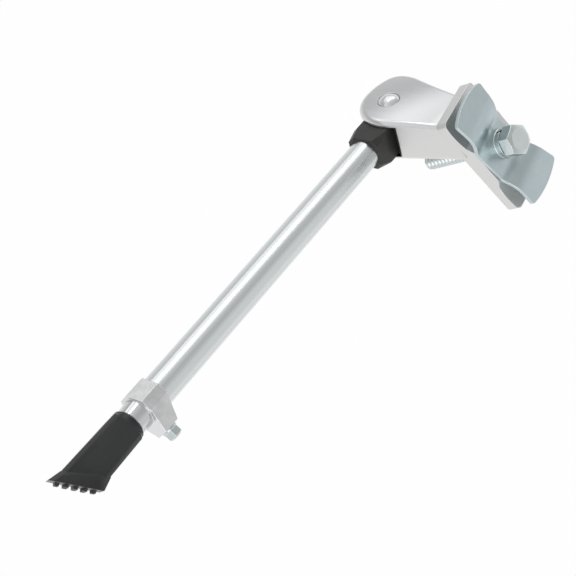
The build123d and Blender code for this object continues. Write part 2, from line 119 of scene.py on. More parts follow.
def new_material(name, metallic, specular=0.5):
    """A material, its tree, its shader and the object coordinates to lay a pattern on."""
    material = bpy.data.materials.new(name)
    material.use_nodes = True
    tree = material.node_tree
    shader = tree.nodes["Principled BSDF"]
    shader.inputs["Metallic"].default_value = metallic
    shader.inputs["Specular IOR Level"].default_value = specular
    return material, tree, shader, put(tree, "ShaderNodeTexCoord").outputs["Object"]


def laid_along(tree, place, *axes):
    """Turns coordinates so that x, y and z run along these three directions."""
    turn = Matrix(axes).to_euler()
    return put(tree, "ShaderNodeMapping", {"Vector": place, "Rotation": turn}).outputs[0]


# Edge effect: how near a point is to a corner of the piece, and a normal that rounds the corner
edge_group, given, result = new_group(
    "rounded_edges", {"Radius": "Float"}, {"Edge": "Float", "Normal": "Vector"}
)
bevel = put(edge_group, "ShaderNodeBevel", {"Radius": given["Radius"]}, samples=8).outputs[0]
flat = put(edge_group, "ShaderNodeNewGeometry").outputs["Normal"]
likeness = put(edge_group, "ShaderNodeVectorMath", {0: bevel, 1: flat}, operation="DOT_PRODUCT")
edge_group.links.new(ranged(edge_group, likeness.outputs["Value"], 0, 1, 0.99, 0.8), result["Edge"])
edge_group.links.new(bevel, result["Normal"])

# Gap effect: how open a point lies, from 0 deep in a gap to 1 in the open; it paints shade into gaps
painted_gap_shade_group, given, result = new_group("gaps", {"Depth": "Float"}, {"Open": "Float"})
closeness = put(painted_gap_shade_group, "ShaderNodeAmbientOcclusion", {"Distance": given["Depth"]}, samples=8)
painted_gap_shade_group.links.new(ranged(painted_gap_shade_group, closeness.outputs["AO"], 0, 1, 0.15, 0.75), result["Open"])

# Streak effect: fine lines along x, as a belt, a die or handling leaves them
streak_group, given, result = new_group(
    "streaks", {"Vector": "Vector", "Length": "Float", "Width": "Float"}, {"Streak": "Float"}
)
along = combined(streak_group, "DIVIDE", 1.0, given["Length"])
across = combined(streak_group, "DIVIDE", 1.0, given["Width"])
scale = put(streak_group, "ShaderNodeCombineXYZ", {0: along, 1: across, 2: across}).outputs[0]
drawn = put(streak_group, "ShaderNodeVectorMath", {0: given["Vector"], 1: scale}, operation="MULTIPLY")
lines = put(streak_group, "ShaderNodeTexNoise", {"Vector": drawn.outputs[0], "Scale": 1, "Detail": 4})
streak_group.links.new(lines.outputs["Fac"], result["Streak"])

# Mottle effect: soft patches of a given size
mottle_group, given, result = new_group(
    "mottle", {"Vector": "Vector", "Size": "Float", "Detail": "Float"}, {"Tone": "Float"}
)
fineness = combined(mottle_group, "DIVIDE", 1.0, given["Size"])
cloud = put(
    mottle_group,
    "ShaderNodeTexNoise",
    {"Vector": given["Vector"], "Scale": fineness, "Detail": given["Detail"], "Roughness": 0.6},
)
mottle_group.links.new(ranged(mottle_group, cloud.outputs["Fac"], 0, 1, 0.3, 0.7), result["Tone"])


def edges(tree, radius):
    """The edge effect with this corner radius, in metres."""
    return put(tree, "ShaderNodeGroup", {"Radius": radius}, node_tree=edge_group).outputs


def openness(tree, depth):
    """The gap effect, for gaps up to this deep, in metres, used to paint shade into gaps."""
    return put(tree, "ShaderNodeGroup", {"Depth": depth}, node_tree=painted_gap_shade_group).outputs[0]


def streaks(tree, place, length, width):
    """Lines of about this length and width, in metres."""
    values = {"Vector": place, "Length": length, "Width": width}
    return put(tree, "ShaderNodeGroup", values, node_tree=streak_group).outputs[0]


def mottle(tree, place, size, detail=2.0):
    """Patches of about this size, in metres."""
    values = {"Vector": place, "Size": size, "Detail": detail}
    return put(tree, "ShaderNodeGroup", values, node_tree=mottle_group).outputs[0]


def relief(tree, height, depth, normal):
    """A bump of this depth, in metres, over the rounded corners."""
    values = {"Height": height, "Distance": depth, "Normal": normal}
    return put(tree, "ShaderNodeBump", values).outputs[0]


def wear(tree, shader, values):
    """Links these sockets to the shader's inputs, by name."""
    for name, value in values.items():
        tree.links.new(value, shader.inputs[name])


cast_aluminium, tree, shader, place = new_material("cast_aluminium", 1.0)
edge = edges(tree, radius=0.0007)
facing = put(tree, "ShaderNodeTexCoord").outputs["Normal"]
towards = put(tree, "ShaderNodeVectorMath", {0: facing, 1: pivot_axis}, operation="DOT_PRODUCT")
height = put(tree, "ShaderNodeSeparateXYZ", {0: place}).outputs["Z"]
cheek = ranged(tree, towards.outputs["Value"], 0, 1, 0.0, 0.3)
polished = combined(tree, "MULTIPLY", cheek, ranged(tree, height, 1, 0, -0.012, -0.007))
on_neck = laid_along(tree, place, -swing_dir, leg_dir, pivot_axis)
belt = streaks(tree, on_neck, length=0.03, width=0.0004)
skin = mottle(tree, place, size=0.0006, detail=3.0)
patch = mottle(tree, place, size=0.014)
pitted = two_colours(tree, skin, (0.62, 0.625, 0.62), (0.74, 0.742, 0.735))
as_cast = two_colours(tree, ranged(tree, patch, 0.2, 0.8), pitted, (0.70, 0.703, 0.695))
bright = two_colours(tree, belt, (0.62, 0.625, 0.635), (0.72, 0.725, 0.73))
base = two_colours(tree, polished, as_cast, bright)
rough_skin = ranged(tree, skin, 0.44, 0.56)
rough_belt = ranged(tree, belt, 0.16, 0.28)
roughness = put(tree, "ShaderNodeMix", {0: polished, 2: rough_skin, 3: rough_belt}).outputs[0]
grain = put(tree, "ShaderNodeMix", {0: polished, 2: skin, 3: ranged(tree, belt, 0.4, 0.6)}).outputs[0]
# Corners painted lighter: partly rubbed wear, partly a painted highlight where rounded corners catch light.
rubbed = combined(tree, "MULTIPLY", edge["Edge"], ranged(tree, polished, 1.0, 0.2))
rubbed_and_highlit = two_colours(tree, rubbed, base, (0.82, 0.82, 0.82))
wear(tree, shader, {
    # Painted shade: the colour darkens to a dark grey deep in gaps and recesses, where shade falls.
    "Base Color": two_colours(tree, openness(tree, depth=0.008), (0.26, 0.265, 0.27), rubbed_and_highlit),
    "Roughness": roughness,
    "Normal": relief(tree, grain, depth=0.00003, normal=edge["Normal"]),
})
frame["nodes"]["body_casting"].data.materials[0] = cast_aluminium

# Pivot rivet: a domed steel rivet, turned bright and nickel plated, that joins the two
# cheeks through the eye of the leg; its inner end is peened over.
polished_steel, tree, shader, place = new_material("polished_steel", 1.0)
edge = edges(tree, radius=0.0004)
on_head = laid_along(tree, place, leg_dir, swing_dir, pivot_axis)
rub = streaks(tree, on_head, length=0.006, width=0.00025)
smear = mottle(tree, place, size=0.004)
wear(tree, shader, {
    "Base Color": two_colours(tree, smear, (0.66, 0.67, 0.68), (0.74, 0.745, 0.75)),
    "Roughness": ranged(tree, rub, 0.14, 0.26, 0.3, 0.7),
    "Normal": relief(tree, rub, depth=0.000004, normal=edge["Normal"]),
})
frame["nodes"]["pivot_rivet"].data.materials[0] = polished_steel

# Eye rod with its seat, washer and nut: mild steel turned parts with a thin clear zinc coat,
# hidden in the tube; the zinc is a cool blue grey, faintly clouded and scratched.


def zinc_coat(name, dark, light, smooth):
    """Zinc plate clouded between two colours, a little scratched, with corners painted lighter as a
    highlight.
    """
    material, tree, shader, place = new_material(name, 1.0)
    edge = edges(tree, radius=0.0005)
    cloud = mottle(tree, place, size=0.009)
    bloom = mottle(tree, place, size=0.0016, detail=4.0)
    turned = laid_along(tree, place, (0.8, 0.6, 0), (-0.6, 0.8, 0), (0, 0, 1))
    scratch = ranged(tree, streaks(tree, turned, length=0.012, width=0.00022), 0, 1, 0.62, 0.74)
    clouded = two_colours(tree, cloud, dark, light)
    bloomed = two_colours(tree, ranged(tree, bloom, 0, 0.25), clouded, (0.62, 0.66, 0.65))
    scratched = two_colours(tree, ranged(tree, scratch, 0, 0.2), bloomed, (0.76, 0.79, 0.79))
    rough_bloom = ranged(tree, bloom, smooth, smooth + 0.06)
    wear(tree, shader, {
        # Painted highlight: corners lighten towards a pale blue grey.
        "Base Color": two_colours(tree, edge["Edge"], scratched, (0.86, 0.90, 0.90)),
        "Roughness": combined(tree, "ADD", rough_bloom, ranged(tree, scratch, 0, 0.04)),
        "Normal": relief(tree, cloud, depth=0.00001, normal=edge["Normal"]),
    })
    return material


zinc_steel = zinc_coat("zinc_steel", dark=(0.47, 0.56, 0.59), light=(0.51, 0.595, 0.615), smooth=0.32)
bright_zinc = zinc_coat("bright_zinc", dark=(0.57, 0.62, 0.63), light=(0.64, 0.68, 0.685), smooth=0.22)
for piece in ("eye_rod", "spring_seat", "rod_washer", "rod_nut"):
    frame["nodes"][piece].data.materials[0] = zinc_steel

# Detent spring: cold coiled round spring wire, oiled and left dark, held between the seat in
# the tube and the washer under the nut; it shortens when the leg is pulled off its stop.
spring_steel, tree, shader, place = new_material("spring_steel", 1.0)
oil = mottle(tree, place, size=0.003, detail=3.0)
on_wire = laid_along(tree, place, leg_dir, pivot_axis, swing_dir)
drawn_wire = streaks(tree, on_wire, length=0.002, width=0.0002)
wear(tree, shader, {
    "Base Color": two_colours(tree, oil, (0.16, 0.165, 0.17), (0.27, 0.275, 0.28)),
    "Roughness": ranged(tree, drawn_wire, 0.3, 0.5, 0.3, 0.7),
})
spring_wire = 0.002
spring_outside = 0.0124
spring_turns = 6
steps_a_turn = 24
wire_sides = 10
coil_tree = bpy.data.node_groups.new("coiled_wire", "GeometryNodeTree")
for socket, kind in (
    ("Turns", "Float"),
    ("Coil Radius", "Float"),
    ("Height", "Float"),
    ("Wire Radius", "Float"),
    ("Finish", "Material"),
):
    coil_tree.interface.new_socket(socket, in_out="INPUT", socket_type="NodeSocket" + kind)
coil_tree.interface.new_socket("Geometry", in_out="OUTPUT", socket_type="NodeSocketGeometry")
given = coil_tree.nodes.new("NodeGroupInput").outputs
helix = put(coil_tree, "GeometryNodeCurveSpiral", {
    "Resolution": steps_a_turn,
    "Rotations": given["Turns"],
    "Start Radius": given["Coil Radius"],
    "End Radius": given["Coil Radius"],
    "Height": given["Height"],
})
wire_end = put(coil_tree, "GeometryNodeCurvePrimitiveCircle", {
    "Resolution": wire_sides, "Radius": given["Wire Radius"],
})
swept = put(coil_tree, "GeometryNodeCurveToMesh", {
    "Curve": helix.outputs[0], "Profile Curve": wire_end.outputs[0], "Fill Caps": True,
})
whole = put(coil_tree, "GeometryNodeRealizeInstances", {"Geometry": swept.outputs[0]})
dressed = put(coil_tree, "GeometryNodeSetMaterial", {
    "Geometry": whole.outputs[0], "Material": given["Finish"],
})
put(coil_tree, "NodeGroupOutput", {"Geometry": dressed.outputs[0]})

spring_start = max(leg_dir.dot(corner.co) for corner in frame["nodes"]["spring_seat"].data.vertices)
spring_stop = min(leg_dir.dot(corner.co) for corner in frame["nodes"]["rod_washer"].data.vertices)
spring_length = spring_stop - spring_start
sizes = {
    "Turns": spring_turns,
    "Coil Radius": (spring_outside - spring_wire) / 2,
    "Height": spring_length - spring_wire,
    "Wire Radius": spring_wire / 2,
    "Finish": spring_steel,
}
coil = bpy.data.objects.new("coil", bpy.data.meshes.new("coil"))
bpy.context.scene.collection.objects.link(coil)
coiling = coil.modifiers.new("coiling", "NODES")
coiling.node_group = coil_tree
for socket in coil_tree.interface.items_tree:
    if socket.in_out == "INPUT":
        coiling[socket.identifier] = sizes[socket.name]
spring_mesh = bpy.data.meshes.new_from_object(coil.evaluated_get(bpy.context.evaluated_depsgraph_get()))
bpy.data.objects.remove(coil)
pivot = Vector(joint["leg_swing"]["pos_m"])
spring_foot = pivot + leg_dir * (spring_stop - leg_dir.dot(pivot))
spring_head = spring_foot - leg_dir * (spring_length - spring_wire / 2)
lay_of_coil = Matrix((swing_dir.cross(leg_dir), swing_dir, leg_dir)).transposed().to_4x4()
lay_of_coil.translation = spring_head
spring_mesh.transform(lay_of_coil)
spring_mesh.name = "coil_spring"
spring_mesh.shade_smooth()
coil_spring = bpy.data.objects.new("coil_spring", spring_mesh)
bpy.context.scene.collection.objects.link(coil_spring)
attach(coil_spring, "swing")
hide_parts("detent_spring")
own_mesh(coil_spring)

# Detent sleeve: a square block of black nylon with a cut-corner skirt, injection moulded
# and pressed on the tube; it slides on the casting, so its corners are rubbed paler, which
# also serves as a painted highlight on them.
black_nylon, tree, shader, place = new_material("black_nylon", 0.0)
edge = edges(tree, radius=0.0008)
spark = mottle(tree, place, size=0.0007, detail=3.0)
rubbed = mottle(tree, place, size=0.006)
# Paler corners: rubbed wear and a painted highlight.
edge_rub_and_sheen = combined(tree, "MULTIPLY", edge["Edge"], ranged(tree, rubbed, 0.35, 1))
body_black = two_colours(tree, rubbed, (0.013, 0.014, 0.012), (0.019, 0.020, 0.018))
wear(tree, shader, {
    "Base Color": two_colours(tree, edge_rub_and_sheen, body_black, (0.075, 0.077, 0.072)),
    "Roughness": ranged(tree, spark, 0.40, 0.54),
    "Normal": relief(tree, spark, depth=0.00003, normal=edge["Normal"]),
})
frame["nodes"]["detent_sleeve"].data.materials[0] = black_nylon

# Outer and inner tube: drawn aluminium, brushed lengthwise and clear anodised; the inner
# one slides in the outer one and is kept brighter by it.


def drawn_tube(name, dark, light, smooth, dull):
    """Brushed tube finish between two colours and two roughnesses."""
    material, tree, shader, place = new_material(name, 1.0)
    edge = edges(tree, radius=0.0004)
    on_leg = laid_along(tree, place, leg_dir, pivot_axis, swing_dir)
    brush = streaks(tree, on_leg, length=0.08, width=0.00035)
    draw = streaks(tree, on_leg, length=0.5, width=0.002)
    nick = ranged(tree, streaks(tree, on_leg, length=0.009, width=0.0003), 0, 1, 0.66, 0.76)
    fine, broad = (ranged(tree, lines, 0, 0.5, 0.3, 0.7) for lines in (brush, draw))
    plain = two_colours(tree, combined(tree, "ADD", fine, broad), dark, light)
    wear(tree, shader, {
        "Base Color": two_colours(tree, ranged(tree, nick, 0, 0.3), plain, (0.84, 0.85, 0.85)),
        "Roughness": ranged(tree, brush, smooth, dull, 0.3, 0.7),
        "Normal": relief(tree, brush, depth=0.0000015, normal=edge["Normal"]),
    })
    return material


satin_aluminium = drawn_tube(
    "satin_aluminium", dark=(0.655, 0.685, 0.69), light=(0.72, 0.745, 0.75), smooth=0.24, dull=0.34
)
bright_aluminium = drawn_tube(
    "bright_aluminium", dark=(0.66, 0.67, 0.69), light=(0.74, 0.745, 0.76), smooth=0.12, dull=0.2
)
frame["nodes"]["outer_tube"].data.materials[0] = satin_aluminium
frame["nodes"]["inner_tube"].data.materials[0] = bright_aluminium

# Collar and its screw: a small aluminium casting pressed on the tube's end, tumbled so that
# its facets are matt and its corners bright, partly wear and partly a painted highlight, with a
# nose turned smooth towards the foot; a zinc plated screw in its boss holds the inner tube.
tumbled_aluminium, tree, shader, place = new_material("tumbled_aluminium", 1.0)
edge = edges(tree, radius=0.0006)
pits = mottle(tree, place, size=0.0008, detail=4.0)
patch = mottle(tree, place, size=0.006)
facet = two_colours(tree, patch, (0.60, 0.605, 0.61), (0.71, 0.715, 0.71))
nose_length = 0.0082
nose_blend = 0.0001
nose_rough = 0.14
nose_end = max(leg_dir.dot(corner.co) for corner in frame["nodes"]["collar"].data.vertices)
nose_start = nose_end - nose_length
down_leg = put(tree, "ShaderNodeVectorMath", {0: place, 1: leg_dir}, operation="DOT_PRODUCT")
nose = ranged(tree, down_leg.outputs["Value"], 0, 1, nose_start - nose_blend, nose_start + nose_blend)
turned_nose = two_colours(tree, nose, facet, (0.66, 0.67, 0.68))
rough_facet = ranged(tree, pits, 0.36, 0.48)
pitting = combined(tree, "MULTIPLY", pits, ranged(tree, nose, 1, 0))
wear(tree, shader, {
    # Painted highlight: corners lighten to pale grey, partly tumbled wear.
    "Base Color": two_colours(tree, edge["Edge"], turned_nose, (0.88, 0.88, 0.88)),
    "Roughness": put(tree, "ShaderNodeMix", {0: nose, 2: rough_facet, 3: nose_rough}).outputs[0],
    "Normal": relief(tree, pitting, depth=0.00003, normal=edge["Normal"]),
})
frame["nodes"]["collar"].data.materials[0] = tumbled_aluminium
frame["nodes"]["collar_screw"].data.materials[0] = bright_zinc

# Foot: black rubber moulded round the end of the inner tube, with a cut-corner block, a lip
# and small knobs under the sole; the block's long corners are softly rounded and wear to a
# dusty grey, which is also a painted sheen on the corners.
black_rubber, tree, shader, place = new_material("black_rubber", 0.0, 0.45)
edge = edges(tree, radius=0.001)
mould = mottle(tree, place, size=0.0005, detail=3.0)
dust = mottle(tree, place, size=0.008, detail=4.0)
plain = two_colours(tree, dust, (0.004, 0.0047, 0.0047), (0.007, 0.0078, 0.0078))
# Paler corners: dust and a painted sheen.
dust_and_sheen_edge = combined(tree, "MULTIPLY", edge["Edge"], ranged(tree, dust, 0.4, 1))
wear(tree, shader, {
    "Base Color": two_colours(tree, dust_and_sheen_edge, plain, (0.075, 0.0765, 0.0765)),
    "Roughness": ranged(tree, mould, 0.30, 0.42),
    "Normal": relief(tree, mould, depth=0.00003, normal=edge["Normal"]),
})
foot_rounding = 0.0006
rounding_steps = 3
same_point = 1e-6
shortest_rounded = 0.02
mildest_rounded, sharpest_rounded = radians(15), radians(80)
foot_shape = bmesh.new()
foot_shape.from_mesh(frame["nodes"]["foot"].data)
bmesh.ops.remove_doubles(foot_shape, verts=foot_shape.verts, dist=same_point)
bmesh.ops.dissolve_limit(foot_shape, angle_limit=radians(1), verts=foot_shape.verts, edges=foot_shape.edges)
sharp = [
    line
    for line in foot_shape.edges
    if line.is_convex
    and line.calc_length() > shortest_rounded
    and mildest_rounded < line.calc_face_angle(0) < sharpest_rounded
]
bmesh.ops.bevel(
    foot_shape, geom=sharp, offset=foot_rounding, segments=rounding_steps, profile=0.5, affect="EDGES"
)
foot_mesh = bpy.data.meshes.new("rounded_foot")
foot_shape.to_mesh(foot_mesh)
foot_shape.free()
foot_mesh.materials.append(black_rubber)
foot_mesh.shade_smooth()
foot_mesh.set_sharp_from_angle(angle=radians(35))
rounded_foot = bpy.data.objects.new("rounded_foot", foot_mesh)
bpy.context.scene.collection.objects.link(rounded_foot)
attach(rounded_foot, "foot_leg")
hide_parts("foot")

# Top plate: blanked from steel sheet with a waist in front and bowed ends, then pressed so
# that soft bends lead from the flat trough under the bolt to two arched wings, and zinc plated.
plate_sheet = 0.0022
blank_reach = 0.0383
blank_front = 0.0162
blank_back = -0.0182
blank_middle = (blank_front + blank_back) / 2
blank_waist = 0.0046
blank_flare = 0.0016
blank_bow = 0.003
blank_corner = 0.0022
wing_rise = 0.006
wing_tip = 0.004
trough_half, trough_bend = 0.0124, 0.009
shoulder_half, shoulder_bend = 0.020, 0.016
plate_turn = radians(4)
bolt_hole = 0.0054
punch_sides = 48
punch_length = 0.03
plate_weld = 2e-6
plate_rows, plate_columns, bend_steps = 160, 20, 16


def arc_through(first, second, third):
    """Centre and radius of the circle through three points of the blank's outline."""
    ahead, beyond = Vector(second) - Vector(first), Vector(third) - Vector(first)
    twice_area = 2 * ahead.cross(beyond)
    turned = (ahead.length_squared * beyond - beyond.length_squared * ahead).orthogonal()
    return Vector(first) + turned / -twice_area, turned.length / abs(twice_area)


corner_place = blank_reach - blank_bow
flared = blank_front + blank_flare
front_arc = arc_through((flared, -corner_place), (blank_front - blank_waist, 0), (blank_front, corner_place))
end_arc = {
    1: arc_through((blank_front, corner_place), (blank_middle, blank_reach), (blank_back, corner_place)),
    -1: arc_through((flared, -corner_place), (blank_middle, -blank_reach), (blank_back, -corner_place)),
}


def outline_at(across, side):
    """Where the blank's front or back edge lies at this distance across, its corners rounded."""
    end = 1 if across > 0 else -1
    middle, reach = end_arc[end]
    if side > 0:
        centre, radius = front_arc
        near = intersect_sphere_sphere_2d(centre, radius + blank_corner, middle, reach - blank_corner)
        corner = min(near, key=lambda spot: (spot - Vector((blank_front, end * corner_place))).length)
        begin = corner + (centre - corner).normalized() * blank_corner
        edge = centre.x - (radius**2 - (across - centre.y) ** 2) ** 0.5
    else:
        inset = blank_back + blank_corner
        rise = ((reach - blank_corner) ** 2 - (inset - middle.x) ** 2) ** 0.5
        corner = Vector((inset, middle.y + end * rise))
        begin = corner - Vector((blank_corner, 0))
        edge = blank_back
    finish = corner + (corner - middle).normalized() * blank_corner
    if abs(across) > abs(finish.y):
        return middle.x + side * max(reach**2 - (across - middle.y) ** 2, 0) ** 0.5
    if abs(across) > abs(begin.y):
        return corner.x + side * max(blank_corner**2 - (across - corner.y) ** 2, 0) ** 0.5
    return edge


# The section of one wing, from the middle outwards: under side, and the same moved out by the sheet
corners = [(0, 0), (trough_half, 0), (shoulder_half, wing_rise), (blank_reach + plate_sheet, wing_tip)]
under_line = [(Vector(corners[0]), Vector((0, 1)))]
for before, at, after, radius in zip(corners, corners[1:], corners[2:], (trough_bend, shoulder_bend)):
    arriving = (Vector(at) - Vector(before)).normalized()
    leaving = (Vector(after) - Vector(at)).normalized()
    turn = arriving.angle_signed(leaving) * -1
    start = Vector(at) - arriving * radius * tan(abs(turn) / 2)
    upright = Vector((-arriving.y, arriving.x))
    inward = upright if turn > 0 else -upright
    for step in range(bend_steps + 1):
        swung = Matrix.Rotation(turn * step / bend_steps, 2)
        under_line.append((start + inward * radius - swung @ inward * radius, swung @ upright))
under_line.append((Vector(corners[-1]), under_line[-1][1]))
upper_line = [spot + upright * plate_sheet for spot, upright in under_line]
under_line = [spot for spot, upright in under_line]


def level_at(line, across):
    """Height of a section line at this distance from the middle."""
    for near, far in zip(line, line[1:]):
        if near.x <= across <= far.x:
            return near.y + (far.y - near.y) * (across - near.x) / (far.x - near.x)


plate_shape = bmesh.new()
layers = []
for line in (upper_line, under_line):
    rows = []
    for row in range(plate_rows + 1):
        across = blank_reach * sin(pi * (row / plate_rows - 0.5))
        back, front = outline_at(across, -1), outline_at(across, 1)
        level = level_at(line, abs(across))
        reaches = [back + (front - back) * column / plate_columns for column in range(plate_columns + 1)]
        rows.append([plate_shape.verts.new((reach, across, level)) for reach in reaches])
    layers.append(rows)
for rows in layers:
    for row, following in zip(rows, rows[1:]):
        for column in range(plate_columns):
            plate_shape.faces.new((row[column], row[column + 1], following[column + 1], following[column]))
for column in (0, plate_columns):
    upper, under = ([row[column] for row in rows] for rows in layers)
    for step in range(plate_rows):
        plate_shape.faces.new((upper[step], upper[step + 1], under[step + 1], under[step]))
bmesh.ops.remove_doubles(plate_shape, verts=plate_shape.verts, dist=plate_weld)
bmesh.ops.recalc_face_normals(plate_shape, faces=plate_shape.faces)
bmesh.ops.rotate(plate_shape, verts=plate_shape.verts, matrix=Matrix.Rotation(plate_turn, 3, "Z"))
bmesh.ops.translate(plate_shape, verts=plate_shape.verts, vec=(0, 0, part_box("top_clamp_plate")[0].z))
blank_mesh = bpy.data.meshes.new("plate_blank")
plate_shape.to_mesh(blank_mesh)
plate_shape.free()

# The bolt's hole, punched through the blank
punch_shape = bmesh.new()
bmesh.ops.create_cone(
    punch_shape,
    cap_ends=True,
    segments=punch_sides,
    radius1=bolt_hole,
    radius2=bolt_hole,
    depth=punch_length,
)
punch_mesh = bpy.data.meshes.new("punch")
punch_shape.to_mesh(punch_mesh)
punch_shape.free()
blank = bpy.data.objects.new("plate_blank", blank_mesh)
punch = bpy.data.objects.new("punch", punch_mesh)
for tool in (blank, punch):
    bpy.context.scene.collection.objects.link(tool)
punched = blank.modifiers.new("punched", "BOOLEAN")
punched.object = punch
plate_mesh = bpy.data.meshes.new_from_object(blank.evaluated_get(bpy.context.evaluated_depsgraph_get()))
for tool in (blank, punch):
    bpy.data.objects.remove(tool)
plate_mesh.name = "pressed_plate"
plate_mesh.materials.clear()
plate_mesh.materials.append(zinc_steel)
plate_mesh.shade_smooth()
plate_mesh.set_sharp_from_angle(angle=radians(30))
pressed_plate = bpy.data.objects.new("pressed_plate", plate_mesh)
bpy.context.scene.collection.objects.link(pressed_plate)
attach(pressed_plate, "jaw")
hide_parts("top_clamp_plate")

# Washers: a flat one and a split one, stamped from steel and zinc plated, that lie on the
# plate under the bolt's head.
for piece in ("flat_washer", "lock_washer"):
    frame["nodes"][piece].data.materials[0] = bright_zinc

# Clamp bolt: a forged hexagon bolt with a rolled thread, zinc plated. The head is chamfered
# round its top; below a short plain shank the thread runs down to a chamfered tip.
low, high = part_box("clamp_bolt")
shank_radius = 0.005
thread_pitch = 0.0015
thread_depth = 0.0009
plain_length = 0.014
tip_chamfer = 0.0012
head_flat = 0.0085
head_height = 0.0082
head_face = 0.0007
head_disc = 0.8 * head_flat
head_turn = radians(72)
rows_a_turn = 6
around = 48
thread_weld = 2e-6
bolt_weld = 4e-6
hex_bottom = high.z - head_height
head_bottom = hex_bottom - head_face

thread_tree = bpy.data.node_groups.new("rolled_thread", "GeometryNodeTree")
for socket, kind in (
    ("Radius", "Float"),
    ("Depth", "Float"),
    ("Pitch", "Float"),
    ("Top", "Float"),
    ("Bottom", "Float"),
    ("Tip", "Float"),
    ("Rows", "Int"),
    ("Around", "Int"),
    ("Finish", "Material"),
):
    thread_tree.interface.new_socket(socket, in_out="INPUT", socket_type="NodeSocket" + kind)
thread_tree.interface.new_socket("Geometry", in_out="OUTPUT", socket_type="NodeSocketGeometry")
given = thread_tree.nodes.new("NodeGroupInput").outputs


def count(operation, first, second):
    """A sum, product or the like of two numbers in the thread's tree."""
    return combined(thread_tree, operation, first, second)


# A grid whose rows climb one pitch in a turn: x is the turn, y the height
steps = count("ADD", given["Around"], 1)
grid = put(thread_tree, "GeometryNodeMeshGrid", {
    "Size X": 1.0, "Size Y": 1.0, "Vertices X": steps, "Vertices Y": given["Rows"],
})
grid_place = put(thread_tree, "GeometryNodeInputPosition").outputs[0]
spot = put(thread_tree, "ShaderNodeSeparateXYZ", {0: grid_place})
share = count("ADD", spot.outputs["X"], 0.5)
span = count("SUBTRACT", given["Top"], given["Bottom"])
run = count("ADD", span, given["Pitch"])
drop = count("MULTIPLY", count("SUBTRACT", 0.5, spot.outputs["Y"]), run)
row_height = count("SUBTRACT", given["Top"], drop)
climb = count("ADD", row_height, count("MULTIPLY", share, given["Pitch"]))
level = count("MINIMUM", given["Top"], count("MAXIMUM", given["Bottom"], climb))
phase = put(thread_tree, "ShaderNodeMath", {
    0: count("DIVIDE", row_height, given["Pitch"]), 1: 1.0,
}, operation="PINGPONG").outputs[0]
flank = ranged(thread_tree, phase, 0, 1, 0.2, 0.8)
full_depth = count("SUBTRACT", given["Top"], given["Pitch"])
fade = ranged(thread_tree, climb, 0, 1, given["Top"], full_depth)
groove = count("MULTIPLY", count("MULTIPLY", flank, given["Depth"]), fade)
thread_radius = count("SUBTRACT", given["Radius"], groove)
end_radius = count("SUBTRACT", given["Radius"], given["Tip"])
tip_cone = count("ADD", end_radius, count("SUBTRACT", level, given["Bottom"]))
radius = count("MINIMUM", thread_radius, tip_cone)
turn = count("MULTIPLY", share, 2 * pi)
cosine = put(thread_tree, "ShaderNodeMath", {0: turn}, operation="COSINE").outputs[0]
sine = put(thread_tree, "ShaderNodeMath", {0: turn}, operation="SINE").outputs[0]
ring = put(thread_tree, "ShaderNodeCombineXYZ", {
    0: count("MULTIPLY", radius, cosine), 1: count("MULTIPLY", radius, sine), 2: level,
})
wound = put(thread_tree, "GeometryNodeSetPosition", {
    "Geometry": grid.outputs[0], "Position": ring.outputs[0],
})
closed = put(thread_tree, "GeometryNodeMergeByDistance", {
    "Geometry": wound.outputs[0], "Distance": thread_weld,
})
whole = put(thread_tree, "GeometryNodeRealizeInstances", {"Geometry": closed.outputs[0]})
dressed = put(thread_tree, "GeometryNodeSetMaterial", {
    "Geometry": whole.outputs[0], "Material": given["Finish"],
})
put(thread_tree, "NodeGroupOutput", {"Geometry": dressed.outputs[0]})

thread_top = head_bottom - plain_length
thread = bpy.data.objects.new("thread", bpy.data.meshes.new("thread"))
bpy.context.scene.collection.objects.link(thread)
winding = thread.modifiers.new("winding", "NODES")
winding.node_group = thread_tree
turns = (thread_top - low.z + thread_pitch) / thread_pitch
sizes = {
    "Radius": shank_radius,
    "Depth": thread_depth,
    "Pitch": thread_pitch,
    "Top": thread_top,
    "Bottom": low.z,
    "Tip": tip_chamfer,
    "Rows": round(turns * rows_a_turn) + 1,
    "Around": around,
    "Finish": bright_zinc,
}
for socket in thread_tree.interface.items_tree:
    if socket.in_out == "INPUT":
        winding[socket.identifier] = sizes[socket.name]
evaluated = thread.evaluated_get(bpy.context.evaluated_depsgraph_get())
bolt_mesh = bpy.data.meshes.new_from_object(evaluated)
bpy.data.objects.remove(thread)

# Rings of points down the head and shank to the thread, then the flat end of the tip
shape = bmesh.new()
shape.from_mesh(bolt_mesh)
rings = []
angles = [2 * pi * step / around for step in range(around)]
hexagon = [head_flat / cos((angle % radians(60)) - radians(30)) for angle in angles]
chamfered = [high.z - (reach - head_disc) * tan(radians(30)) for reach in hexagon]
face_radius = head_flat - head_face
for reaches, heights in (
    ([head_disc] * around, [high.z] * around),
    (hexagon, chamfered),
    (hexagon, [hex_bottom] * around),
    ([face_radius] * around, [hex_bottom] * around),
    ([face_radius] * around, [head_bottom] * around),
    ([shank_radius] * around, [head_bottom] * around),
    ([shank_radius] * around, [thread_top] * around),
):
    points = zip(angles, reaches, heights)
    rings.append([shape.verts.new((r * cos(a), r * sin(a), z)) for a, r, z in points])
for upper, lower in zip(rings, rings[1:]):
    for step in range(around):
        after = (step + 1) % around
        shape.faces.new((upper[step], lower[step], lower[after], upper[after]))
shape.faces.new(rings[0])
tip_radius = shank_radius - tip_chamfer
tip_ring = [(tip_radius * cos(a), tip_radius * sin(a), low.z) for a in reversed(angles)]
shape.faces.new([shape.verts.new(point) for point in tip_ring])
bmesh.ops.remove_doubles(shape, verts=shape.verts, dist=bolt_weld)
bmesh.ops.recalc_face_normals(shape, faces=shape.faces)
bmesh.ops.rotate(shape, verts=shape.verts, matrix=Matrix.Rotation(head_turn, 3, "Z"))
